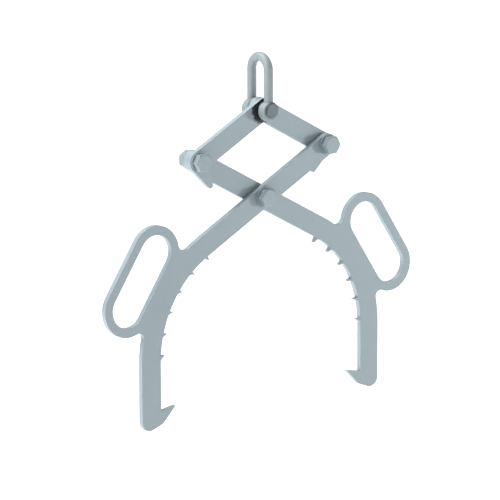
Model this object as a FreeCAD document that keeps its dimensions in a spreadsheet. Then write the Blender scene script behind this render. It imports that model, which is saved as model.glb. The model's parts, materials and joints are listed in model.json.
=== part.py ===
import FreeCAD, Part
import math
import os
import Sketcher
from FreeCAD import Placement, Rotation, Vector

# Scissor lifting grip hanging from a shackle. Millimetres, +Z up, +X to the
# right and +Y to the back. The origin is at the inner crown of the shackle,
# where a crane hook bears, midway between the plates. All pivots run along Y.
# Two plates lie in the front plane (front arm, left link) and two in the rear
# plane (rear arm, right link).
#
# An arm is drawn about the centre of its jaw arc, with +X towards the other
# arm. A link is drawn along +X from its lower pivot. A bolt is drawn along +Z
# from the underside of its head. Placements put them in the assembly.

DRIVING_SIZES = [
    ("plate_thickness", 8.0, "arms and links, flat plate"),
    ("plate_gap", 0.6, "clear space between the two plate planes"),
    ("bar_width", 31.0, "width of the links and of the arms' upper bars"),
    ("leg_width", 33.0, "width of the arms' legs"),
    ("arm_tilt", 28.6, "degrees, bars and links above level as stored"),
    ("pivot_pitch", 132.0, "between neighbouring pivots"),
    ("pivot_hole", 20.16, "hole for a sleeve at a link's ends"),
    ("centre_hole", 20.4, "hole for the centre sleeve"),
    ("jaw_radius", 160.0, "inner arc of an arm"),
    ("back_radius", 192.0, "outer arc of an arm"),
    ("jaw_to_centre", 125.0, "end of the jaw arc to the centre pivot"),
    ("tooth_height", 8.0, "tooth tip inside the jaw arc"),
    ("tooth_base", 7.5, "foot of a tooth along the arc"),
    ("tooth_hollow", 12.0, "radius of a tooth's hollow lower flank"),
    ("tooth_root", 2.0, "tooth's root inside the plate"),
    ("tooth_first_angle", 3.2, "degrees, lowest tooth above the arc's centre"),
    ("tooth_pitch_angle", 11.66, "degrees, between neighbouring teeth"),
    ("tooth_count", 6.0, "teeth on one arm"),
    ("heel_depth", 96.5, "bottom of the leg below the arc's centre"),
    ("heel_radius", 14.0, "rounded outer corner of the heel"),
    ("throat_depth", 70.8, "corner between leg and hook"),
    ("hook_reach", 25.5, "hook tip inside the leg"),
    ("hook_rise", 4.6, "hook tip above the throat"),
    ("toe_reach", 3.0, "lower corner of the hook inside the leg"),
    ("toe_rise", 7.2, "lower corner of the hook above the heel"),
    ("handle_distance", 225.4, "hand hole's long axis to the arc's centre"),
    ("handle_angle", 33.5, "degrees, the hand hole's long axis from upright"),
    ("handle_drop", 5.9, "hand hole's middle below the square from the arc's centre"),
    ("handle_straight", 87.8, "between the hand hole's end centres"),
    ("handle_hole", 53.0, "width of the hand hole"),
    ("handle_bar", 13.3, "width of the loop round the hand hole"),
    ("handle_upper_fillet", 11.5, "loop to bar"),
    ("handle_lower_fillet", 8.5, "loop to leg"),
    ("nose_depth", 40.5, "nose end's centre below the link's axis"),
    ("nose_tip_radius", 4.3, "rounding of the nose's end"),
    ("nose_root_radius", 16.0, "link end round the lower pivot"),
    ("bolt_diameter", 16.0, "M16 bolts and the shackle pin"),
    ("head_flats", 24.0, "bolt heads and nuts across flats"),
    ("head_height", 10.0, "bolt head"),
    ("nut_height", 13.0, "nut"),
    ("nut_bore", 16.1, "nut, drawn plain"),
    ("bolt_overhang", 2.0, "bolt end past the nut"),
    ("end_chamfer", 1.5, "bolt end"),
    ("chamfer_circle", 22.6, "flat circle left on a chamfered hexagon"),
    ("washer_diameter", 30.0, "flat washers, rings and thin spacers"),
    ("washer_thickness", 2.5, "flat washers"),
    ("washer_bore", 17.0, "flat washers"),
    ("spacer_thickness", 0.4, "thin spacer between the plates"),
    ("spacer_bore", 20.4, "rings and thin spacers, round a sleeve"),
    ("sleeve_diameter", 20.0, "distance sleeves"),
    ("sleeve_bore", 16.16, "distance sleeves"),
    ("sleeve_length", 16.8, "distance sleeves, past the plate pack"),
    ("top_sleeve_length", 23.4, "sleeve on the shackle pin"),
    ("front_ring_diameter", 23.0, "distance ring in front of the links"),
    ("front_ring_length", 1.4, "distance ring in front of the links"),
    ("rear_ring_length", 5.0, "distance ring behind the links"),
    ("ring_play", 0.1, "ring to link"),
    ("shackle_bar", 13.0, "shackle, round bar"),
    ("shackle_spread", 38.0, "between the centre lines of the two legs"),
    ("shackle_reach", 67.5, "inner crown to the pin's axis"),
    ("shackle_shift", 1.8, "shackle behind the middle of the plates"),
    ("eye_diameter", 28.6, "shackle eyes"),
    ("eye_drop", 2.4, "eyes' centre below the pin's axis, for a thicker lower wall"),
    ("eye_width", 14.0, "shackle eyes along the pin"),
    ("eye_rounding", 3.0, "outer rim of the eyes"),
    ("eye_bore", 16.1, "shackle eyes"),
    ("pin_head_flats", 20.0, "shackle pin's head across flats"),
    ("pin_head_height", 3.5, "shackle pin's head"),
    ("pin_chamfer_circle", 18.6, "flat circle on the pin's head"),
]

# Points of an arm, from the centre of its jaw arc.
BAR_OFFSET = "([jaw_radius] + [bar_width] / 2)"
CENTRE_X = "(-" + BAR_OFFSET + " * sin([arm_tilt]) + [jaw_to_centre] * cos([arm_tilt]))"
CENTRE_Z = "(" + BAR_OFFSET + " * cos([arm_tilt]) + [jaw_to_centre] * sin([arm_tilt]))"
HALF_SPAN = "([pivot_pitch] * cos([arm_tilt]))"
HALF_RISE = "([pivot_pitch] * sin([arm_tilt]))"
UPPER_PIVOT_X = "(" + CENTRE_X + " + " + HALF_SPAN + ")"
UPPER_PIVOT_Z = "(" + CENTRE_Z + " + " + HALF_RISE + ")"

# Levels and planes of the assembly.
PLATE_PLANE = "(([plate_thickness] + [plate_gap]) / 2)"
TOP_LEVEL = "(-[shackle_reach])"
SIDE_LEVEL = "(-[shackle_reach] - " + HALF_RISE + ")"
CENTRE_LEVEL = "(-[shackle_reach] - 2 * " + HALF_RISE + ")"
HEAD_SEAT = "([sleeve_length] / 2 + [washer_thickness])"
WASHER_PLANE = "([sleeve_length] / 2 + [washer_thickness] / 2)"
RING_FACE = "([plate_gap] / 2 + [plate_thickness] + [ring_play])"

ALONG_Y = Rotation(Vector(1, 0, 0), -90)
TURNED_ROUND = Rotation(Vector(0, 0, 1), 180)

doc = FreeCAD.newDocument("lifting_grip")


def make_sheet():
    """The driving dimensions, one row each: value, then what it is."""
    sheet = doc.addObject("Spreadsheet::Sheet", "Sizes")
    for row, (name, value, meaning) in enumerate(DRIVING_SIZES, start=1):
        sheet.set("A%d" % row, str(value))
        sheet.setAlias("A%d" % row, name)
        sheet.set("B%d" % row, meaning)
    doc.recompute()
    return sheet


SHEET = make_sheet()


# --- sizes and expressions -------------------------------------------------

def number(expression):
    """What an expression on the sheet comes to now, for a first guess."""
    plain = expression.replace("[", "").replace("]", "")
    return float(SHEET.evalExpression(plain))


def bind(owner, target, expression):
    """Tie a property or a constraint to the sheet."""
    owner.setExpression(target, expression.replace("[", "Sizes.").replace("]", ""))


# --- sketches --------------------------------------------------------------

def origin_feature(body, role):
    for feature in body.Origin.OriginFeatures:
        if feature.Role == role:
            return feature
    raise ValueError("no origin feature " + role)


def new_body(name):
    body = doc.addObject("PartDesign::Body", name)
    body.Label = name
    return body


def new_sketch(body, name, role="XZ_Plane"):
    sketch = body.newObject("Sketcher::SketchObject", name)
    sketch.AttachmentSupport = [(origin_feature(body, role), "")]
    sketch.MapMode = "FlatFace"
    return sketch


def turn_sketch(sketch, angle):
    """Turn a sketch in its own plane."""
    sketch.AttachmentOffset = Placement(Vector(), Rotation(Vector(0, 0, 1), number(angle)))
    bind(sketch, "AttachmentOffset.Rotation.Angle", angle)


def dimension(sketch, kind, target, value):
    index = sketch.addConstraint(Sketcher.Constraint(kind, *target, number(value)))
    bind(sketch, "Constraints[%d]" % index, value)


def place_point(sketch, geometry, end, x, y):
    """Hold a point at x, y from the sketch's origin; "0" is on the axis."""
    for kind, axis, value in (("DistanceX", -2, x), ("DistanceY", -1, y)):
        if value == "0":
            sketch.addConstraint(Sketcher.Constraint("PointOnObject", geometry, end, axis))
        else:
            dimension(sketch, kind, (-1, 1, geometry, end), value)


def join(sketch, kind, first, first_end, second, second_end):
    sketch.addConstraint(Sketcher.Constraint(kind, first, first_end, second, second_end))


def flat(x, y):
    return Vector(x, y, 0)


def add_line(sketch, start, end):
    return sketch.addGeometry(Part.LineSegment(start, end))


def add_arc(sketch, centre, radius, start, end):
    """An arc turning left from the start angle to the end angle, in radians."""
    circle = Part.Circle(centre, Vector(0, 0, 1), radius)
    return sketch.addGeometry(Part.ArcOfCircle(circle, start, end))


def add_circle(sketch, x, y, diameter):
    circle = Part.Circle(flat(number(x), number(y)), Vector(0, 0, 1), number(diameter) / 2)
    index = sketch.addGeometry(circle)
    place_point(sketch, index, 3, x, y)
    dimension(sketch, "Diameter", (index,), diameter)


def add_hull(sketch, first, second):
    """Two arcs and their two outer tangents; an end is (x, y, radius)."""
    x1, y1, r1 = (number(value) for value in first)
    x2, y2, r2 = (number(value) for value in second)
    heading = math.atan2(y2 - y1, x2 - x1)
    spread = math.acos((r1 - r2) / math.hypot(x2 - x1, y2 - y1))
    far_arc = add_arc(sketch, flat(x1, y1), r1, heading + spread, heading - spread + 2 * math.pi)
    near_arc = add_arc(sketch, flat(x2, y2), r2, heading - spread, heading + spread)

    def touch(x, y, radius, angle):
        return flat(x + radius * math.cos(angle), y + radius * math.sin(angle))

    right = add_line(sketch, touch(x1, y1, r1, heading - spread), touch(x2, y2, r2, heading - spread))
    left = add_line(sketch, touch(x2, y2, r2, heading + spread), touch(x1, y1, r1, heading + spread))
    join(sketch, "Tangent", far_arc, 2, right, 1)
    join(sketch, "Tangent", right, 2, near_arc, 1)
    join(sketch, "Tangent", near_arc, 2, left, 1)
    join(sketch, "Tangent", left, 2, far_arc, 1)
    for arc, (x, y, radius) in ((far_arc, first), (near_arc, second)):
        place_point(sketch, arc, 3, x, y)
        dimension(sketch, "Radius", (arc,), radius)


def add_polygon(sketch, corners):
    """A closed outline of straight lines through corners given as (x, y)."""
    points = [flat(number(x), number(y)) for x, y in corners]
    lines = [add_line(sketch, points[i], points[(i + 1) % len(points)]) for i in range(len(points))]
    for i, (x, y) in enumerate(corners):
        join(sketch, "Coincident", lines[i - 1], 2, lines[i], 1)
        place_point(sketch, lines[i], 1, x, y)


# --- features --------------------------------------------------------------

def pad(body, sketch, length):
    """Thicken a sketch evenly to both sides of its plane."""
    feature = body.newObject("PartDesign::Pad", sketch.Name + "_pad")
    feature.Profile = sketch
    feature.SideType = "Symmetric"
    bind(feature, "Length", length)
    doc.recompute()
    return feature


def pocket(body, sketch, depth):
    """Cut a sketch evenly to both sides of its plane, and see that it cuts."""
    before = body.Shape.Volume
    feature = body.newObject("PartDesign::Pocket", sketch.Name + "_pocket")
    feature.Profile = sketch
    feature.SideType = "Symmetric"
    bind(feature, "Length", depth)
    doc.recompute()
    if feature.Shape.Volume >= before:
        raise ValueError(sketch.Name + " cut nothing")
    return feature


def turned_cut(body, sketch):
    """Cut a sketch turned about its own vertical axis, and see that it cuts."""
    before = body.Shape.Volume
    feature = body.newObject("PartDesign::Groove", sketch.Name + "_groove")
    feature.Profile = sketch
    feature.ReferenceAxis = (sketch, ["V_Axis"])
    feature.Angle = 360
    doc.recompute()
    if feature.Shape.Volume >= before:
        raise ValueError(sketch.Name + " cut nothing")
    return feature


def put(body, x, y, z, rotation=Rotation()):
    """Place a finished body in the assembly."""
    body.Placement = Placement(Vector(), rotation)
    bind(body, "Placement.Base.x", x)
    bind(body, "Placement.Base.y", y)
    bind(body, "Placement.Base.z", z)


# --- plates ----------------------------------------------------------------

def draw_arm_outline(sketch):
    """Bar, jaw arc, leg and hook in one closed outline."""
    tilt = math.radians(number("[arm_tilt]"))
    jaw = number("[jaw_radius]")
    half_bar = number("[bar_width]") / 2
    back = number("[back_radius]")
    outside = -jaw - number("[leg_width]")
    across = flat(-math.sin(tilt), math.cos(tilt))
    pivot = flat(number(UPPER_PIVOT_X), number(UPPER_PIVOT_Z))
    back_x = outside + back
    back_y = (jaw + 2 * half_bar - back + math.sin(tilt) * back_x) / math.cos(tilt)
    back_centre = flat(back_x, back_y)
    heel = number("[heel_radius]")
    heel_centre = flat(outside + heel, heel - number("[heel_depth]"))
    toe_x, toe_y = "(-[jaw_radius] + [toe_reach])", "(-[heel_depth] + [toe_rise])"
    tip_x, tip_y = "(-[jaw_radius] + [hook_reach])", "(-[throat_depth] + [hook_rise])"
    toe = flat(number(toe_x), number(toe_y))
    tip = flat(number(tip_x), number(tip_y))
    throat = flat(-jaw, -number("[throat_depth]"))
    to_toe = toe - heel_centre
    heel_end = math.atan2(to_toe.y, to_toe.x) - math.acos(heel / to_toe.Length)
    heel_foot = heel_centre + flat(math.cos(heel_end), math.sin(heel_end)) * heel
    quarter = math.pi / 2

    end_arc = add_arc(sketch, pivot, half_bar, tilt - quarter, tilt + quarter)
    bar_top = add_line(sketch, pivot + across * half_bar, back_centre + across * back)
    back_arc = add_arc(sketch, back_centre, back, tilt + quarter, math.pi)
    leg_back = add_line(sketch, flat(outside, back_y), flat(outside, heel_centre.y))
    heel_arc = add_arc(sketch, heel_centre, heel, math.pi, heel_end + 2 * math.pi)
    sole = add_line(sketch, heel_foot, toe)
    hook_under = add_line(sketch, toe, tip)
    hook_top = add_line(sketch, tip, throat)
    leg_front = add_line(sketch, throat, flat(-jaw, 0))
    jaw_arc = add_arc(sketch, flat(0, 0), jaw, tilt + quarter, math.pi)
    bar_under = add_line(sketch, across * jaw, pivot - across * half_bar)

    join(sketch, "Tangent", end_arc, 2, bar_top, 1)
    join(sketch, "Tangent", bar_top, 2, back_arc, 1)
    join(sketch, "Tangent", back_arc, 2, leg_back, 1)
    join(sketch, "Tangent", leg_back, 2, heel_arc, 1)
    join(sketch, "Tangent", heel_arc, 2, sole, 1)
    join(sketch, "Coincident", sole, 2, hook_under, 1)
    join(sketch, "Coincident", hook_under, 2, hook_top, 1)
    join(sketch, "Coincident", hook_top, 2, leg_front, 1)
    join(sketch, "Tangent", leg_front, 2, jaw_arc, 2)
    join(sketch, "Tangent", jaw_arc, 1, bar_under, 1)
    join(sketch, "Tangent", bar_under, 2, end_arc, 1)
    join(sketch, "Coincident", jaw_arc, 3, -1, 1)
    sketch.addConstraint(Sketcher.Constraint("Vertical", leg_back))
    sketch.addConstraint(Sketcher.Constraint("Vertical", leg_front))
    sketch.addConstraint(Sketcher.Constraint("Parallel", bar_top, bar_under))
    place_point(sketch, end_arc, 3, UPPER_PIVOT_X, UPPER_PIVOT_Z)
    dimension(sketch, "Radius", (end_arc,), "[bar_width] / 2")
    dimension(sketch, "Radius", (jaw_arc,), "[jaw_radius]")
    dimension(sketch, "Radius", (back_arc,), "[back_radius]")
    dimension(sketch, "Radius", (heel_arc,), "[heel_radius]")
    dimension(sketch, "DistanceX", (-1, 1, leg_back, 1), "-[jaw_radius] - [leg_width]")
    dimension(sketch, "DistanceY", (-1, 1, heel_arc, 3), "-[heel_depth] + [heel_radius]")
    dimension(sketch, "DistanceY", (-1, 1, leg_front, 1), "-[throat_depth]")
    place_point(sketch, sole, 2, toe_x, toe_y)
    place_point(sketch, hook_under, 2, tip_x, tip_y)


def draw_loop(sketch, radius):
    """The hand hole or the loop round it, along the jaw arc's tangent."""
    turn_sketch(sketch, "-[handle_angle]")
    upper = ("-[handle_distance]", "([handle_straight] / 2 - [handle_drop])", radius)
    lower = ("-[handle_distance]", "(-[handle_straight] / 2 - [handle_drop])", radius)
    add_hull(sketch, upper, lower)


def corner_name(shape, centre, radius, rank):
    """The edge through the plate that lies on a loop's end and ranks highest."""
    best = None
    for index, edge in enumerate(shape.Edges, start=1):
        start, end = edge.Vertexes[0].Point, edge.Vertexes[-1].Point
        if edge.Curve.TypeId != "Part::GeomLine" or abs(start.y - end.y) < 1:
            continue
        away = math.hypot(start.x - centre.x, start.z - centre.z)
        if abs(away - radius) < 0.01 and (best is None or rank(start) > best[0]):
            best = (rank(start), "Edge%d" % index)
    return best[1]


def round_corner(body, base, edge_name, radius, name):
    feature = body.newObject("PartDesign::Fillet", name)
    feature.Base = (base, [edge_name])
    bind(feature, "Radius", radius)
    doc.recompute()
    return feature


def blend_loop(body, base):
    """Fillets where the loop's two ends run into the bar and into the leg."""
    angle = math.radians(number("[handle_angle]"))
    outward = Vector(-math.cos(angle), 0, math.sin(angle))
    upward = Vector(math.sin(angle), 0, math.cos(angle))
    middle = outward * number("[handle_distance]") - upward * number("[handle_drop]")
    half = upward * (number("[handle_straight]") / 2)
    radius = number("[handle_hole] / 2 + [handle_bar]")
    upper_edge = corner_name(base.Shape, middle + half, radius, lambda point: point.x)
    upper = round_corner(body, base, upper_edge, "[handle_upper_fillet]", "loop_upper")
    lower_edge = corner_name(upper.Shape, middle - half, radius, lambda point: -point.z)
    return round_corner(body, upper, lower_edge, "[handle_lower_fillet]", "loop_lower")


def draw_tooth(sketch):
    """One thorn on the jaw arc: square above, hollow below."""
    turn_sketch(sketch, "-[tooth_first_angle]")
    root = "(-[jaw_radius] - [tooth_root])"
    corners = [
        ("(-[jaw_radius] + [tooth_height])", "0"),
        (root, "0"),
        (root, "-[tooth_base]"),
        ("-[jaw_radius]", "-[tooth_base]"),
    ]
    tip, top, bottom, foot = [flat(number(x), number(y)) for x, y in corners]
    hollow = number("[tooth_hollow]")
    chord = tip - foot
    depth = math.sqrt(hollow ** 2 - chord.Length ** 2 / 4)
    centre = (tip + foot) / 2 + flat(chord.y, -chord.x) * (depth / chord.Length)
    start = math.atan2(tip.y - centre.y, tip.x - centre.x)
    end = math.atan2(foot.y - centre.y, foot.x - centre.x)
    flank = add_arc(sketch, centre, hollow, start, end)
    upper = add_line(sketch, tip, top)
    back = add_line(sketch, top, bottom)
    lower = add_line(sketch, bottom, foot)
    join(sketch, "Coincident", flank, 1, upper, 1)
    join(sketch, "Coincident", upper, 2, back, 1)
    join(sketch, "Coincident", back, 2, lower, 1)
    join(sketch, "Coincident", lower, 2, flank, 2)
    for line, (x, y) in zip((upper, back, lower), corners):
        place_point(sketch, line, 1, x, y)
    place_point(sketch, flank, 2, *corners[3])
    dimension(sketch, "Radius", (flank,), "[tooth_hollow]")


def add_teeth(body):
    """The first tooth, repeated up the jaw arc."""
    sketch = new_sketch(body, body.Name + "_tooth")
    draw_tooth(sketch)
    tooth = pad(body, sketch, "[plate_thickness]")
    before = tooth.Shape.Volume
    pattern = body.newObject("PartDesign::PolarPattern", body.Name + "_teeth")
    pattern.Originals = [tooth]
    pattern.Axis = (origin_feature(body, "Y_Axis"), [""])
    bind(pattern, "Angle", "[tooth_pitch_angle] * ([tooth_count] - 1)")
    bind(pattern, "Occurrences", "[tooth_count]")
    body.Tip = pattern
    doc.recompute()
    if pattern.Shape.Volume <= before:
        raise ValueError("the tooth pattern added nothing")


def make_arm(name):
    """An arm: one plate with bar, jaw, leg, hook, teeth and hand loop."""
    body = new_body(name)
    outline = new_sketch(body, name + "_outline")
    draw_arm_outline(outline)
    pad(body, outline, "[plate_thickness]")
    loop = new_sketch(body, name + "_loop")
    draw_loop(loop, "([handle_hole] / 2 + [handle_bar])")
    blend_loop(body, pad(body, loop, "[plate_thickness]"))
    hand_hole = new_sketch(body, name + "_hand_hole")
    draw_loop(hand_hole, "([handle_hole] / 2)")
    pocket(body, hand_hole, "2 * [plate_thickness]")
    add_teeth(body)
    holes = new_sketch(body, name + "_holes")
    add_circle(holes, CENTRE_X, CENTRE_Z, "[centre_hole]")
    add_circle(holes, UPPER_PIVOT_X, UPPER_PIVOT_Z, "[pivot_hole]")
    pocket(body, holes, "2 * [plate_thickness]")
    return body


def make_link(name):
    """A link: a flat bar with two holes and a stop nose at its lower end."""
    body = new_body(name)
    bar = new_sketch(body, name + "_bar")
    add_hull(bar, ("0", "0", "[bar_width] / 2"), ("[pivot_pitch]", "0", "[bar_width] / 2"))
    pad(body, bar, "[plate_thickness]")
    nose = new_sketch(body, name + "_nose")
    root = ("0", "0", "[nose_root_radius]")
    tip = ("0", "-[nose_depth]", "[nose_tip_radius]")
    add_hull(nose, root, tip)
    pad(body, nose, "[plate_thickness]")
    holes = new_sketch(body, name + "_holes")
    add_circle(holes, "0", "0", "[pivot_hole]")
    add_circle(holes, "[pivot_pitch]", "0", "[pivot_hole]")
    pocket(body, holes, "2 * [plate_thickness]")
    return body


# --- turned pieces ---------------------------------------------------------

def make_ring(name, outside, bore, length):
    """A washer, sleeve or distance ring, its axis along Y."""
    body = new_body(name)
    sketch = new_sketch(body, name + "_section")
    add_circle(sketch, "0", "0", outside)
    add_circle(sketch, "0", "0", bore)
    pad(body, sketch, length)
    return body


def chamfer_hexagon(body, flats, circle, level, inward):
    """Turn the corners of a hexagon down to a circle at one end."""
    corner = "(" + flats + " / sqrt(3) + 1)"
    drop = "((" + corner + " - " + circle + " / 2) * tan(30) * " + inward + ")"
    sketch = new_sketch(body, body.Name + "_corners" + ("_low" if inward == "1" else "_high"))
    start = ("(" + circle + " / 2)", level)
    add_polygon(sketch, [start, (corner, level), (corner, "(" + level + " + " + drop + ")")])
    turned_cut(body, sketch)


def add_hexagon(body, flats, height, level):
    """A hexagon prism on the Z axis, one corner along X."""
    prism = body.newObject("PartDesign::AdditivePrism", body.Name + "_hexagon")
    prism.AttachmentSupport = [(origin_feature(body, "XY_Plane"), "")]
    prism.MapMode = "FlatFace"
    prism.Polygon = 6
    bind(prism, "Circumradius", flats + " / sqrt(3)")
    bind(prism, "Height", height)
    bind(prism, "AttachmentOffset.Base.z", level)
    doc.recompute()


def make_bolt(name, flats, circle, height, length):
    """A hexagon bolt with a chamfered end."""
    body = new_body(name)
    add_hexagon(body, flats, height, "-" + height)
    chamfer_hexagon(body, flats, circle, "(-" + height + ")", "1")
    shank = body.newObject("PartDesign::AdditiveCylinder", name + "_shank")
    shank.AttachmentSupport = [(origin_feature(body, "XY_Plane"), "")]
    shank.MapMode = "FlatFace"
    bind(shank, "Radius", "[bolt_diameter] / 2")
    bind(shank, "Height", length)
    doc.recompute()
    top = number(length)
    for index, edge in enumerate(shank.Shape.Edges, start=1):
        if abs(edge.BoundBox.ZMin - top) < 0.01 and abs(edge.BoundBox.ZMax - top) < 0.01:
            end_edge = "Edge%d" % index
    end = body.newObject("PartDesign::Chamfer", name + "_end")
    end.Base = (shank, [end_edge])
    bind(end, "Size", "[end_chamfer]")
    doc.recompute()
    return body


def make_nut(name):
    """A hexagon nut with both ends chamfered."""
    body = new_body(name)
    add_hexagon(body, "[head_flats]", "[nut_height]", "0")
    chamfer_hexagon(body, "[head_flats]", "[chamfer_circle]", "0", "1")
    chamfer_hexagon(body, "[head_flats]", "[chamfer_circle]", "[nut_height]", "-1")
    bore = new_sketch(body, name + "_bore", "XY_Plane")
    add_circle(bore, "0", "0", "[nut_bore]")
    pocket(body, bore, "3 * [nut_height]")
    return body


# --- shackle ---------------------------------------------------------------

def make_shackle():
    """Round bar bent over in the Y-Z plane, drawn about the pin's axis."""
    body = new_body("shackle_bow")
    half = number("[shackle_spread]") / 2
    shoulder = "([shackle_reach] + [shackle_bar] / 2 - [shackle_spread] / 2)"
    crown = flat(0, number(shoulder))
    path = new_sketch(body, "shackle_path", "YZ_Plane")
    front = add_line(path, flat(-half, 0), flat(-half, crown.y))
    arc = add_arc(path, crown, half, 0, math.pi)
    rear = add_line(path, flat(half, crown.y), flat(half, 0))
    join(path, "Tangent", front, 2, arc, 2)
    join(path, "Tangent", arc, 1, rear, 1)
    path.addConstraint(Sketcher.Constraint("Vertical", front))
    path.addConstraint(Sketcher.Constraint("Vertical", rear))
    path.addConstraint(Sketcher.Constraint("PointOnObject", front, 1, -1))
    path.addConstraint(Sketcher.Constraint("PointOnObject", rear, 2, -1))
    place_point(path, arc, 3, "0", shoulder)
    dimension(path, "Radius", (arc,), "[shackle_spread] / 2")
    section = new_sketch(body, "shackle_section", "XY_Plane")
    add_circle(section, "0", "-[shackle_spread] / 2", "[shackle_bar]")
    doc.recompute()
    bar = body.newObject("PartDesign::AdditivePipe", "shackle_bar_sweep")
    bar.Profile = section
    bar.Spine = (path, [])
    doc.recompute()
    add_eyes(body)
    bore = new_sketch(body, "shackle_bore")
    add_circle(bore, "0", "0", "[eye_bore]")
    pocket(body, bore, "3 * [shackle_spread]")
    return body


def add_eyes(body):
    """Two discs with a rounded rim, turned about an axis a little below the pin's."""
    sketch = new_sketch(body, "shackle_eyes", "YZ_Plane")
    bind(sketch, "AttachmentOffset.Base.y", "-[eye_drop]")
    rim = number("[eye_diameter] / 2")
    rounding = number("[eye_rounding]")
    for side in (-1, 1):
        middle = side * number("[shackle_spread] / 2")
        left = middle - number("[eye_width] / 2")
        right = middle + number("[eye_width] / 2")
        base = add_line(sketch, flat(left, 0), flat(right, 0))
        wall = add_line(sketch, flat(right, 0), flat(right, rim - rounding))
        corner = flat(right - rounding, rim - rounding)
        outer = add_arc(sketch, corner, rounding, 0, math.pi / 2)
        top = add_line(sketch, flat(right - rounding, rim), flat(left + rounding, rim))
        corner = flat(left + rounding, rim - rounding)
        inner = add_arc(sketch, corner, rounding, math.pi / 2, math.pi)
        back = add_line(sketch, flat(left, rim - rounding), flat(left, 0))
        join(sketch, "Coincident", base, 2, wall, 1)
        join(sketch, "Tangent", wall, 2, outer, 1)
        join(sketch, "Tangent", outer, 2, top, 1)
        join(sketch, "Tangent", top, 2, inner, 1)
        join(sketch, "Tangent", inner, 2, back, 1)
        join(sketch, "Coincident", back, 2, base, 1)
        for line in (wall, back):
            sketch.addConstraint(Sketcher.Constraint("Vertical", line))
        sketch.addConstraint(Sketcher.Constraint("Horizontal", top))
        sign = "-" if side < 0 else ""
        place_point(sketch, base, 1, sign + "[shackle_spread] / 2 - [eye_width] / 2", "0")
        place_point(sketch, base, 2, sign + "[shackle_spread] / 2 + [eye_width] / 2", "0")
        dimension(sketch, "Radius", (outer,), "[eye_rounding]")
        dimension(sketch, "Radius", (inner,), "[eye_rounding]")
        dimension(sketch, "DistanceY", (-1, 1, top, 1), "[eye_diameter] / 2")
    eyes = body.newObject("PartDesign::Revolution", "shackle_eyes_turned")
    eyes.Profile = sketch
    eyes.ReferenceAxis = (sketch, ["H_Axis"])
    eyes.Angle = 360
    doc.recompute()


# --- assembly --------------------------------------------------------------

def fit_bolt_set(place_name, x, z):
    """Bolt, nut, washers, sleeve and thin spacer on one pivot."""
    stack = "2 * " + HEAD_SEAT + " + [nut_height] + [bolt_overhang]"
    bolt = make_bolt(place_name + "_bolt", "[head_flats]", "[chamfer_circle]", "[head_height]", stack)
    put(bolt, x, "-" + HEAD_SEAT, z, ALONG_Y)
    nut = make_nut(place_name + "_nut")
    put(nut, x, HEAD_SEAT, z, ALONG_Y.multiply(Rotation(Vector(0, 0, 1), 30)))
    washer_sizes = ("[washer_diameter]", "[washer_bore]", "[washer_thickness]")
    front = make_ring(place_name + "_front_washer", *washer_sizes)
    put(front, x, "-" + WASHER_PLANE, z)
    rear = make_ring(place_name + "_rear_washer", *washer_sizes)
    put(rear, x, WASHER_PLANE, z)
    sleeve_sizes = ("[sleeve_diameter]", "[sleeve_bore]", "[sleeve_length]")
    sleeve = make_ring(place_name + "_sleeve", *sleeve_sizes)
    put(sleeve, x, "0", z)
    spacer_sizes = ("[washer_diameter]", "[spacer_bore]", "[spacer_thickness]")
    spacer = make_ring(place_name + "_spacer", *spacer_sizes)
    put(spacer, x, "0", z)
    return [bolt, nut, front, rear, sleeve, spacer]


def fit_top_pivot():
    """Shackle pin, the sleeve that the links turn on, and its rings."""
    eye_face = "([shackle_spread] / 2 + [eye_width] / 2)"
    pin_sizes = ("[pin_head_flats]", "[pin_chamfer_circle]", "[pin_head_height]", "2 * " + eye_face)
    pin = make_bolt("shackle_pin", *pin_sizes)
    corner_down = ALONG_Y.multiply(Rotation(Vector(0, 0, 1), 30))
    put(pin, "0", "[shackle_shift] - " + eye_face, TOP_LEVEL, corner_down)
    sleeve = make_ring("top_sleeve", "[sleeve_diameter]", "[sleeve_bore]", "[top_sleeve_length]")
    put(sleeve, "0", "[shackle_shift]", TOP_LEVEL)
    spacer = make_ring("top_spacer", "[washer_diameter]", "[spacer_bore]", "[spacer_thickness]")
    put(spacer, "0", "0", TOP_LEVEL)
    front_sizes = ("[front_ring_diameter]", "[spacer_bore]", "[front_ring_length]")
    front = make_ring("front_distance_ring", *front_sizes)
    put(front, "0", "-" + RING_FACE + " - [front_ring_length] / 2", TOP_LEVEL)
    rear_sizes = ("[washer_diameter]", "[spacer_bore]", "[rear_ring_length]")
    rear = make_ring("rear_distance_ring", *rear_sizes)
    put(rear, "0", RING_FACE + " + [rear_ring_length] / 2", TOP_LEVEL)
    return [pin, sleeve, spacer, front, rear]


def assemble():
    """Every sub-part in its place, as the grip hangs part open."""
    front_arm = make_arm("front_arm")
    put(front_arm, "-" + CENTRE_X, "-" + PLATE_PLANE, CENTRE_LEVEL + " - " + CENTRE_Z)
    rear_arm = make_arm("rear_arm")
    put(rear_arm, CENTRE_X, PLATE_PLANE, CENTRE_LEVEL + " - " + CENTRE_Z, TURNED_ROUND)
    rising = Rotation(Vector(0, -1, 0), number("[arm_tilt]"))
    left_link = make_link("left_link")
    put(left_link, "-" + HALF_SPAN, "-" + PLATE_PLANE, SIDE_LEVEL, rising)
    right_link = make_link("right_link")
    put(right_link, HALF_SPAN, PLATE_PLANE, SIDE_LEVEL, TURNED_ROUND.multiply(rising))
    shackle = make_shackle()
    put(shackle, "0", "[shackle_shift]", TOP_LEVEL)
    parts = [front_arm, rear_arm, left_link, right_link, shackle]
    parts += fit_top_pivot()
    parts += fit_bolt_set("centre", "0", CENTRE_LEVEL)
    parts += fit_bolt_set("left", "-" + HALF_SPAN, SIDE_LEVEL)
    parts += fit_bolt_set("right", HALF_SPAN, SIDE_LEVEL)
    return parts


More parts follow.
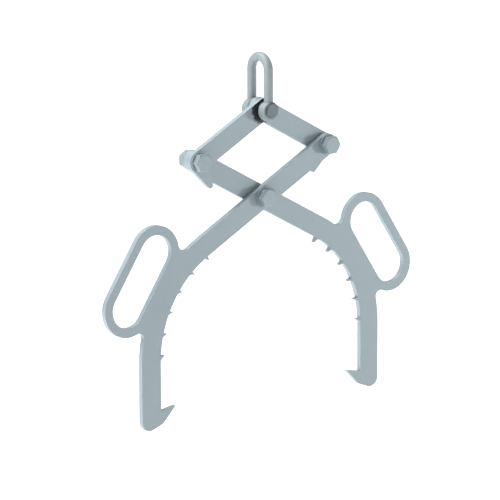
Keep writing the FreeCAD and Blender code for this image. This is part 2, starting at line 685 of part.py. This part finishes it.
def check(parts):
    """Stop before anything is written if a feature or a shape has failed."""
    for item in doc.Objects:
        if "Invalid" in item.State or "Error" in item.State:
            raise ValueError("failed feature: " + item.Label)
    for part in parts:
        if part.Shape.isNull() or not part.Shape.isValid() or len(part.Shape.Solids) != 1:
            raise ValueError("bad shape: " + part.Label)


def write(parts):
    os.makedirs("parts", exist_ok=True)
    for part in parts:
        part.Shape.exportStep("parts/" + part.Label + ".step")
        box = part.Shape.BoundBox
        print("%-20s %9.0f mm3  x %7.1f %7.1f  y %6.1f %6.1f  z %7.1f %7.1f" % (
            part.Label, part.Shape.Volume, box.XMin, box.XMax, box.YMin, box.YMax, box.ZMin, box.ZMax))


PARTS = assemble()
doc.recompute()
check(PARTS)
write(PARTS)
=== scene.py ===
"""Looks for the scissor lifting grip: plated steel, plain white studio, camera at the photograph's angle."""

import json
import math

import bpy
from mathutils import Matrix, Vector


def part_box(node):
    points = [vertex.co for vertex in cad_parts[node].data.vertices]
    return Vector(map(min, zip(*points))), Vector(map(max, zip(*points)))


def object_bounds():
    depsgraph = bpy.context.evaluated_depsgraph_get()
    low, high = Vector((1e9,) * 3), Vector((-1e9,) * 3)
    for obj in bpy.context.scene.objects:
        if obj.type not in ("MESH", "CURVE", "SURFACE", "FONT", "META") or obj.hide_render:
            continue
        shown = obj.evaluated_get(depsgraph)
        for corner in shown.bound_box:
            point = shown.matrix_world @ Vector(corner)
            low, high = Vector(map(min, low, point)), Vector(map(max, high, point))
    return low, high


# The camera stands CAMERA_DISTANCE from the aim, a point AIM_DEPTH in front of the centre pivot.
# It looks along a direction of its own, slightly off the aim. Azimuths run from +Y towards +X.
AIM_DEPTH = 0.0079
CAMERA_AZIMUTH = math.radians(38.336)
CAMERA_ELEVATION = math.radians(10.769)
CAMERA_DISTANCE = 4.9104
LOOK_AZIMUTH = math.radians(38.088)
LOOK_PITCH = math.radians(11.651)
CAMERA_ROLL = math.radians(-0.162)
VIEW_WIDTH_PER_METRE = 0.1447178
SENSOR = 36.0
CLIP_END = 200.0

# studio: a glowing white floor, three square lamps and an even sky
FLOOR_DROP = 0.55
STUDIO_SIDE = 60.0
FLOOR_COLOUR = (0.93, 0.93, 0.93)
FLOOR_GLOW = 0.75
SKY_COLOUR = (1.0, 1.0, 1.0, 1.0)
SKY_STRENGTH = 0.46

# colours before their marks and stains, and the near-black of the grease and of the painted shadow at the
# top pivot
PLATE_COLOUR = (0.219, 0.267, 0.290)
FORGED_COLOUR = (0.216, 0.249, 0.265)
GREASE_AND_SHADOW_COLOUR = (0.012, 0.016, 0.020, 1.0)

# turned and headed parts, by kind
# the last value is how far tight corners are darkened as painted shade
PIN_FINISH = dict(base=(0.097, 0.126, 0.137), metallic=0.6, roughness=(0.30, 0.42), corner_shade_depth=0.7)
FASTENER_FINISH = dict(base=(0.221, 0.270, 0.290), metallic=0.3, roughness=(0.38, 0.50), corner_shade_depth=0.5)
TURNED_FINISH = dict(base=(0.22, 0.26, 0.28), metallic=0.6, roughness=(0.28, 0.40), corner_shade_depth=0.5)

# grease round a pivot, and at the top pivot a near-black painted shadow cast by the shackle's front eye: how
# far each reaches from the axis, and how dense it is
TOP_PAINTED_SHADOW = (0.0235, 1.0)
LINK_GREASE = (0.0142, 0.12)
ARM_GREASE = (0.0120, 0.10)

# it keeps its density up to this share of its reach, and its rim wanders by this much
GREASE_AND_SHADOW_FULL_TO = 0.86
GREASE_AND_SHADOW_RAGGED = 0.003

# the four plates, and the rolling grain's run on each in radians about Y
GRAIN_TURNS = {"front_arm": 0.9, "rear_arm": -0.9, "left_link": 0.5, "right_link": -0.5}

# broken edges of the cut plates
EDGE_BREAK = 0.0006
EDGE_SEGMENTS = 2
SHARP_ANGLE = math.radians(30.0)
FLAT_ANGLE = math.radians(0.5)
WELD_DISTANCE = 0.000002
FACE_WEIGHT = 60

MASK_SAMPLES = 6

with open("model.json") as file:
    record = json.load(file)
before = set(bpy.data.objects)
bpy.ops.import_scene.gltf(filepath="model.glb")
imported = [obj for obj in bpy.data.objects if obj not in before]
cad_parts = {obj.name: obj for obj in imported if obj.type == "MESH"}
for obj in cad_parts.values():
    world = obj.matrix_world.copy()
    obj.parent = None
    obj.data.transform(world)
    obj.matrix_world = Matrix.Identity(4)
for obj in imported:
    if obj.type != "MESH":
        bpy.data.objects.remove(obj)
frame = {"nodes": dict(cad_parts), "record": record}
cad_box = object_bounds()
NODES = frame["nodes"]


def node_centre(name):
    low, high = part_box(name)
    return (low + high) / 2


# ---------------------------------------------------------------- node-tree helpers


class Nodes:
    """Builds one material's node tree: every call makes a node and returns its main output."""

    def __init__(self, name):
        self.material = bpy.data.materials.new(name)
        self.material.use_nodes = True
        self.tree = self.material.node_tree
        self.shader = self.tree.nodes["Principled BSDF"]
        self.coords = self.tree.nodes.new("ShaderNodeTexCoord")
        self.place = self.coords.outputs["Object"]

    def link(self, value, socket):
        if isinstance(value, bpy.types.NodeSocket):
            self.tree.links.new(value, socket)
        else:
            socket.default_value = value

    def mapped(self, scale, turn=(0, 0, 0)):
        node = self.tree.nodes.new("ShaderNodeMapping")
        node.inputs["Scale"].default_value = scale
        node.inputs["Rotation"].default_value = turn
        self.tree.links.new(self.place, node.inputs["Vector"])
        return node.outputs["Vector"]

    def noise(self, vector, scale, detail, rough, distortion=0.0):
        node = self.tree.nodes.new("ShaderNodeTexNoise")
        node.inputs["Scale"].default_value = scale
        node.inputs["Detail"].default_value = detail
        node.inputs["Roughness"].default_value = rough
        node.inputs["Distortion"].default_value = distortion
        self.tree.links.new(vector, node.inputs["Vector"])
        return node.outputs["Fac"]

    def rings(self, radius, scale):
        """Noise that varies with radius only."""
        node = self.tree.nodes.new("ShaderNodeTexNoise")
        node.noise_dimensions = "1D"
        node.inputs["Scale"].default_value = scale
        self.tree.links.new(radius, node.inputs["W"])
        return node.outputs["Fac"]

    def cells(self, vector, scale, output):
        node = self.tree.nodes.new("ShaderNodeTexVoronoi")
        node.inputs["Scale"].default_value = scale
        self.tree.links.new(vector, node.inputs["Vector"])
        return node.outputs[output]

    def math(self, operation, a, b=0.0):
        node = self.tree.nodes.new("ShaderNodeMath")
        node.operation = operation
        self.link(a, node.inputs[0])
        self.link(b, node.inputs[1])
        return node.outputs["Value"]

    def spread(self, value, low, high, out_low=0.0, out_high=1.0):
        node = self.tree.nodes.new("ShaderNodeMapRange")
        self.link(value, node.inputs["Value"])
        node.inputs["From Min"].default_value = low
        node.inputs["From Max"].default_value = high
        node.inputs["To Min"].default_value = out_low
        node.inputs["To Max"].default_value = out_high
        return node.outputs["Result"]

    def stretched(self, noise, out_low=0.0, out_high=1.0):
        """A noise with nearly all its values between 0.3 and 0.7, over the whole range asked for."""
        return self.spread(noise, 0.3, 0.7, out_low, out_high)

    def mix(self, factor, a, b):
        node = self.tree.nodes.new("ShaderNodeMix")
        node.data_type = "RGBA"
        self.link(factor, node.inputs["Factor"])
        self.link(a, node.inputs[6])
        self.link(b, node.inputs[7])
        return node.outputs[2]

    def tint(self, colour, mask, amount, shade):
        """The colour with an amount of shade mixed in where mask is 1."""
        return self.mix(self.math("MULTIPLY", mask, amount), colour, shade)

    def separate(self, vector):
        node = self.tree.nodes.new("ShaderNodeSeparateXYZ")
        self.tree.links.new(vector, node.inputs["Vector"])
        return node.outputs

    def shifted(self, centre):
        node = self.tree.nodes.new("ShaderNodeVectorMath")
        node.operation = "SUBTRACT"
        node.inputs[1].default_value = centre
        self.tree.links.new(self.place, node.inputs[0])
        return self.separate(node.outputs["Vector"])

    def radius_from(self, centre):
        """Distance from the axis through centre, along Y."""
        x, _, z = self.shifted(centre)
        squares = self.math("ADD", self.math("MULTIPLY", x, x), self.math("MULTIPLY", z, z))
        return self.math("SQRT", squares)

    def grease_and_shadow_ring(self, centre, reach, strength, smear, on_side):
        """Grease squeezed out round a pivot, or a painted shadow round the top pivot: dense at the bearing,
        broken up towards reach.
        """
        ragged = self.stretched(smear, -GREASE_AND_SHADOW_RAGGED, GREASE_AND_SHADOW_RAGGED)
        radius = self.math("ADD", self.radius_from(centre), ragged)
        dense = self.spread(radius, reach, reach * GREASE_AND_SHADOW_FULL_TO)
        dense = self.math("MULTIPLY", dense, self.math("SUBTRACT", 1.0, on_side))
        return self.math("MULTIPLY", dense, strength)

    def edge_mask(self, radius):
        """1 on the rounded edges, 0 on flat faces."""
        bevel = self.tree.nodes.new("ShaderNodeBevel")
        bevel.samples = MASK_SAMPLES
        bevel.inputs["Radius"].default_value = radius
        geometry = self.tree.nodes.new("ShaderNodeNewGeometry")
        dot = self.tree.nodes.new("ShaderNodeVectorMath")
        dot.operation = "DOT_PRODUCT"
        self.tree.links.new(bevel.outputs["Normal"], dot.inputs[0])
        self.tree.links.new(geometry.outputs["Normal"], dot.inputs[1])
        return self.spread(dot.outputs["Value"], 0.998, 0.86)

    def corner_shade_mask(self, distance):
        """1 in tight corners between pieces, 0 in the open; the materials darken by it as painted shade."""
        node = self.tree.nodes.new("ShaderNodeAmbientOcclusion")
        node.samples = MASK_SAMPLES
        node.inputs["Distance"].default_value = distance
        return self.spread(node.outputs["AO"], 0.85, 0.25)

    def bump(self, height, distance, strength, under=None):
        node = self.tree.nodes.new("ShaderNodeBump")
        node.inputs["Strength"].default_value = strength
        node.inputs["Distance"].default_value = distance
        self.tree.links.new(height, node.inputs["Height"])
        if under is not None:
            self.tree.links.new(under, node.inputs["Normal"])
        return node.outputs["Normal"]

    def finish(self, colour, roughness, normal, metallic):
        self.link(colour, self.shader.inputs["Base Color"])
        self.link(roughness, self.shader.inputs["Roughness"])
        self.link(normal, self.shader.inputs["Normal"])
        self.shader.inputs["Metallic"].default_value = metallic
        return self.material


def grey(base, factor):
    return tuple(min(1.0, channel * factor) for channel in base) + (1.0,)


# ---------------------------------------------------------------- materials


def plate_steel(name, base, grain_turn, pivots):
    """Cut plate with a soft zinc finish.

    It has rolling grain, a faint spangle, cut marks on the narrow sides and grease at the side and centre
    pivots; its narrow sides are lightened as a painted highlight, its tight corners darkened as painted
    shade, and at the top pivot it carries a near-black painted shadow.
    """
    n = Nodes(name)
    clouds = n.noise(n.place, 14.0, 4.0, 0.55)
    spangle = n.separate(n.cells(n.mapped((1, 1, 1), (0.3, 0.2, 0.7)), 260.0, "Color"))[0]
    grain = n.noise(n.mapped((90, 400, 2600), (0, grain_turn, 0)), 1.0, 3.0, 0.6)
    speckle = n.noise(n.place, 1900.0, 2.0, 0.7)
    facing = n.separate(n.coords.outputs["Normal"])
    on_side = n.spread(n.math("ABSOLUTE", facing[1]), 0.7, 0.4)
    cut_marks = n.math("MULTIPLY", n.noise(n.mapped((1500, 25, 1500)), 1.0, 2.0, 0.5), on_side)
    smear = n.noise(n.place, 160.0, 4.0, 0.6, 0.5)
    edges = n.edge_mask(0.0009)
    painted_corner_shade = n.corner_shade_mask(0.0035)
    colour = n.mix(n.stretched(clouds), grey(base, 0.955), grey(base, 1.035))
    colour = n.tint(colour, spangle, 0.10, grey(base, 1.16))
    colour = n.tint(colour, n.spread(grain, 0.45, 0.75), 0.14, grey(base, 0.84))
    # painted highlight: the narrow cut sides are lightened to stand for the light they catch
    colour = n.tint(colour, on_side, 0.9, grey(base, 1.30))
    colour = n.tint(colour, cut_marks, 0.35, grey(base, 0.95))
    colour = n.tint(colour, edges, 0.5, grey(base, 1.5))
    # painted shade: tight corners between pieces darkened
    colour = n.tint(colour, painted_corner_shade, 0.15, grey(base, 0.70))
    for centre, reach, strength in pivots:
        # grease at the side and centre pivots; round the top pivot of the links this near-black ring is a
        # painted shadow of the shackle's front eye
        colour = n.mix(n.grease_and_shadow_ring(centre, reach, strength, smear, on_side), colour, GREASE_AND_SHADOW_COLOUR)
    roughness = n.stretched(clouds, 0.36, 0.46)
    roughness = n.math("ADD", roughness, n.math("MULTIPLY", grain, 0.10))
    roughness = n.math("SUBTRACT", roughness, n.math("MULTIPLY", edges, 0.12))
    normal = n.bump(grain, 0.00002, 0.5)
    normal = n.bump(speckle, 0.00001, 0.5, normal)
    normal = n.bump(cut_marks, 0.00006, 0.6, normal)
    return n.finish(colour, roughness, normal, 0.35)


def forged_steel(name, base):
    """Dip-galvanised forging: soft hammered skin, small dull patches."""
    n = Nodes(name)
    patches = n.noise(n.place, 55.0, 4.0, 0.6, 0.4)
    skin = n.noise(n.place, 420.0, 3.0, 0.55)
    pits = n.cells(n.place, 700.0, "Distance")
    edges = n.edge_mask(0.0009)
    painted_corner_shade = n.corner_shade_mask(0.006)
    colour = n.mix(n.stretched(patches), grey(base, 0.92), grey(base, 1.06))
    colour = n.tint(colour, n.spread(skin, 0.5, 0.75), 0.16, grey(base, 0.80))
    colour = n.tint(colour, edges, 0.4, grey(base, 1.3))
    # painted shade: tight corners between pieces darkened
    colour = n.tint(colour, painted_corner_shade, 0.5, grey(base, 0.5))
    roughness = n.stretched(patches, 0.50, 0.62)
    normal = n.bump(skin, 0.00010, 0.6)
    normal = n.bump(pits, 0.00004, 0.4, normal)
    return n.finish(colour, roughness, normal, 0.15)


def turned_steel(name, centre, base, metallic, roughness, corner_shade_depth):
    """Turned or headed part: rings about its own axis (+Y), fine scratches, bright edges."""
    n = Nodes(name)
    rings = n.rings(n.radius_from(centre), 2600.0)
    patches = n.noise(n.place, 120.0, 4.0, 0.6)
    scratches = n.noise(n.mapped((300, 4000, 300)), 1.0, 2.0, 0.6)
    edges = n.edge_mask(0.0007)
    painted_corner_shade = n.corner_shade_mask(0.004)
    colour = n.mix(n.stretched(patches), grey(base, 0.93), grey(base, 1.06))
    colour = n.tint(colour, rings, 0.16, grey(base, 0.82))
    colour = n.tint(colour, edges, 0.55, grey(base, 1.45))
    # painted shade: tight corners between pieces darkened
    colour = n.tint(colour, painted_corner_shade, corner_shade_depth, grey(base, 0.45))
    normal = n.bump(scratches, 0.00001, 0.4)
    return n.finish(colour, n.stretched(scratches, *roughness), normal, metallic)


def soften_edges(node_name):
    """Break the sharp edges of a CAD node with a real bevel; its own mesh stays as it is."""
    piece = NODES[node_name]
    weld = piece.modifiers.new("join_faces", "WELD")
    weld.merge_threshold = WELD_DISTANCE
    flat = piece.modifiers.new("plain_faces", "DECIMATE")
    flat.decimate_type = "DISSOLVE"
    flat.angle_limit = FLAT_ANGLE
    bevel = piece.modifiers.new("broken_edges", "BEVEL")
    bevel.width = EDGE_BREAK
    bevel.segments = EDGE_SEGMENTS
    bevel.limit_method = "ANGLE"
    bevel.angle_limit = SHARP_ANGLE
    bevel.miter_outer = "MITER_ARC"
    shade = piece.modifiers.new("even_shading", "WEIGHTED_NORMAL")
    shade.weight = FACE_WEIGHT


def paint(node_name, material):
    mesh = NODES[node_name].data
    mesh.materials.clear()
    mesh.materials.append(material)
    for face in mesh.polygons:
        face.material_index = 0


def grease_and_shadow_pivots(name):
    """Centre, reach and strength of the grease round each pivot of a plate, and of the painted shadow round
    the top pivot of a link.
    """
    top, centre = node_centre("top_sleeve"), node_centre("centre_sleeve")
    side = node_centre("left_sleeve" if name in ("left_link", "rear_arm") else "right_sleeve")
    if name.endswith("link"):
        # the top pivot gets the painted shadow, the side pivot grease
        return [(top, *TOP_PAINTED_SHADOW), (side, *LINK_GREASE)]
    return [(centre, *ARM_GREASE), (side, *ARM_GREASE)]


def paint_all():
    for piece in frame["record"]["subparts"]:
        name, slot = piece["node"], piece["material_slot"]
        if slot == "plate_steel":
            material = plate_steel("plate_" + name, PLATE_COLOUR, GRAIN_TURNS[name], grease_and_shadow_pivots(name))
        elif slot == "forged_steel":
            material = forged_steel("forged_" + name, FORGED_COLOUR)
        elif slot == "pin_steel":
            material = turned_steel("pin_" + name, node_centre(name), **PIN_FINISH)
        elif slot == "zinc_fasteners":
            material = turned_steel("zinc_" + name, node_centre(name), **FASTENER_FINISH)
        else:
            material = turned_steel("turned_" + name, node_centre(name), **TURNED_FINISH)
        paint(name, material)


# ---------------------------------------------------------------- studio


def floor_material():
    n = Nodes("studio_white")
    mottle = n.noise(n.place, 0.8, 2.0, 0.5)
    tone = n.mix(mottle, grey(FLOOR_COLOUR, 0.99), grey(FLOOR_COLOUR, 1.0))
    n.shader.inputs["Emission Strength"].default_value = FLOOR_GLOW
    n.link(tone, n.shader.inputs["Emission Color"])
    return n.finish(tone, 0.9, n.bump(mottle, 0.0002, 0.1), 0.0)


def build_floor():
    mesh = bpy.data.meshes.new("studio_floor")
    half = STUDIO_SIDE / 2
    level = cad_box[0].z - FLOOR_DROP
    corners = [(-half, -half, level), (half, -half, level), (half, half, level), (-half, half, level)]
    mesh.from_pydata(corners, [], [(0, 1, 2, 3)])
    floor = bpy.data.objects.new("studio_floor", mesh)
    bpy.context.scene.collection.objects.link(floor)
    mesh.materials.append(floor_material())


def area_light(name, place, side, watts):
    """A square lamp at place, turned to the middle of the grip."""
    data = bpy.data.lights.new(name, "AREA")
    data.size = side
    data.energy = watts
    middle = (cad_box[0] + cad_box[1]) / 2
    lamp = bpy.data.objects.new(name, data)
    lamp.location = place
    lamp.rotation_mode = "QUATERNION"
    lamp.rotation_quaternion = (middle - Vector(place)).to_track_quat("-Z", "Y")
    bpy.context.scene.collection.objects.link(lamp)


def build_lights():
    area_light("key_light", place=(6.47, -4.70, -0.80), side=0.6, watts=158.0)
    area_light("left_fill", place=(-2.7, 0.2, 1.3), side=1.8, watts=85.0)
    area_light("top_light", place=(-0.5, 0.6, 2.5), side=1.8, watts=100.0)
    world = bpy.data.worlds.new("studio_world")
    world.use_nodes = True
    background = world.node_tree.nodes["Background"]
    background.inputs["Color"].default_value = SKY_COLOUR
    background.inputs["Strength"].default_value = SKY_STRENGTH
    bpy.context.scene.world = world


def direction(azimuth, downward):
    """Unit vector: azimuth from +Y towards +X, downward below level."""
    level = math.cos(downward)
    return Vector((math.sin(azimuth) * level, math.cos(azimuth) * level, -math.sin(downward)))


def build_camera():
    pivot = node_centre("centre_sleeve")
    aim = Vector((pivot.x, -AIM_DEPTH, pivot.z))
    place = aim - direction(CAMERA_AZIMUTH, CAMERA_ELEVATION) * CAMERA_DISTANCE
    look = direction(LOOK_AZIMUTH, LOOK_PITCH)
    level = Vector((math.cos(LOOK_AZIMUTH), -math.sin(LOOK_AZIMUTH), 0))
    up = level.cross(look)
    across = level * math.cos(CAMERA_ROLL) + up * math.sin(CAMERA_ROLL)
    above = up * math.cos(CAMERA_ROLL) - level * math.sin(CAMERA_ROLL)
    data = bpy.data.cameras.new("photo_camera")
    data.sensor_width = SENSOR
    data.lens = SENSOR / VIEW_WIDTH_PER_METRE
    data.clip_end = CLIP_END
    camera = bpy.data.objects.new("photo_camera", data)
    turn = Matrix((across, above, -look)).transposed()
    camera.matrix_world = Matrix.Translation(place) @ turn.to_4x4()
    bpy.context.scene.collection.objects.link(camera)
    bpy.context.scene.camera = camera


paint_all()
for plate in GRAIN_TURNS:
    soften_edges(plate)
build_floor()
build_lights()
build_camera()
bpy.context.scene.view_settings.view_transform = "Standard"
